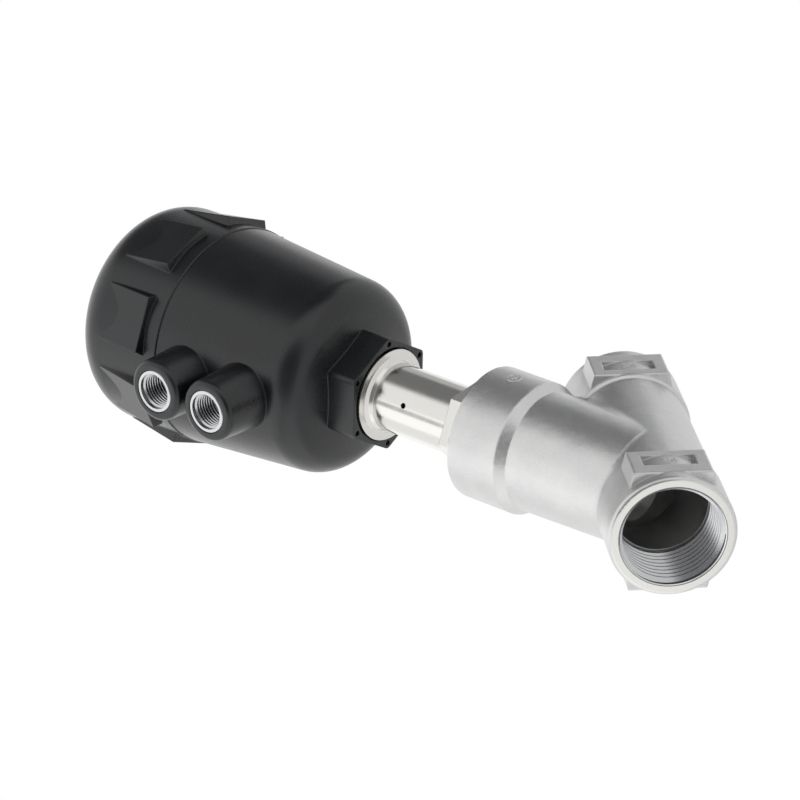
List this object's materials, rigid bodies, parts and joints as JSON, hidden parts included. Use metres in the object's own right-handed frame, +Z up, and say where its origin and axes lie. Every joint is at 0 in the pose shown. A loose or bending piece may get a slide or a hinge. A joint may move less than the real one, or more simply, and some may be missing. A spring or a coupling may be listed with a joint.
{
  "type": "angle seat valve",
  "caption": "Pneumatic angle seat valve: cast Y-pattern pipe body with threaded ports, turned neck tube and black piston actuator with two air ports and a screw-on ribbed cover.",
  "frame": {"origin": "centre of the inlet port's face, on the pipe axis", "axes": "+X along the pipe from the inlet to the outlet, +Z up; the stem leans over the outlet in the XZ plane"},
  "size_m": [0.1676, 0.0648, 0.1526],
  "materials": {
    "cast_steel": "investment-cast, bead-blasted",
    "turned_steel": "turned and polished",
    "spring_steel": "drawn wire",
    "black_polyamide": "satin moulded",
    "piston_plastic": "moulded",
    "bearing_plastic": "moulded",
    "indicator_plastic": "gloss moulded",
    "clear_plastic": "clear moulded",
    "ptfe": "sintered",
    "rubber": "moulded"
  },
  "bodies": {
    "body": {"valve_body": "cast_steel", "neck_tube": "turned_steel", "body_gasket": "ptfe", "packing_gland": "turned_steel", "packing_thrust_lower": "turned_steel", "packing_vrings": "ptfe", "packing_thrust_upper": "turned_steel", "packing_spring": "spring_steel", "upper_bush": "bearing_plastic", "spigot_ring": "spring_steel", "swivel_oring": "rubber"},
    "actuator": {"actuator_housing": "black_polyamide", "actuator_cover": "black_polyamide", "cover_oring": "rubber", "stem_seal": "rubber", "thread_insert_lower": "turned_steel", "thread_insert_upper": "turned_steel", "indicator_cap": "clear_plastic", "main_spring": "spring_steel"},
    "stem": {"spindle": "turned_steel", "valve_disc": "turned_steel", "seat_seal": "ptfe", "disc_pin": "turned_steel", "piston": "piston_plastic", "piston_lip_seal": "rubber", "piston_guide_ring": "ptfe", "piston_nut": "turned_steel", "indicator_pin": "indicator_plastic"}
  },
  "joints": [
    {"name": "actuator_swivel", "type": "hinge", "parent": "body", "child": "actuator", "pos_m": [0.09108, 0, 0.06274], "axis": [0.7314, 0, 0.682], "continuous": true},
    {"name": "stroke", "type": "slide", "parent": "body", "child": "stem", "axis": [0.7314, 0, 0.682], "range_m": [0, 0.008], "stiffness_N_per_m": 5000, "springref_m": -0.01, "deforming": ["main_spring"]}
  ]
}
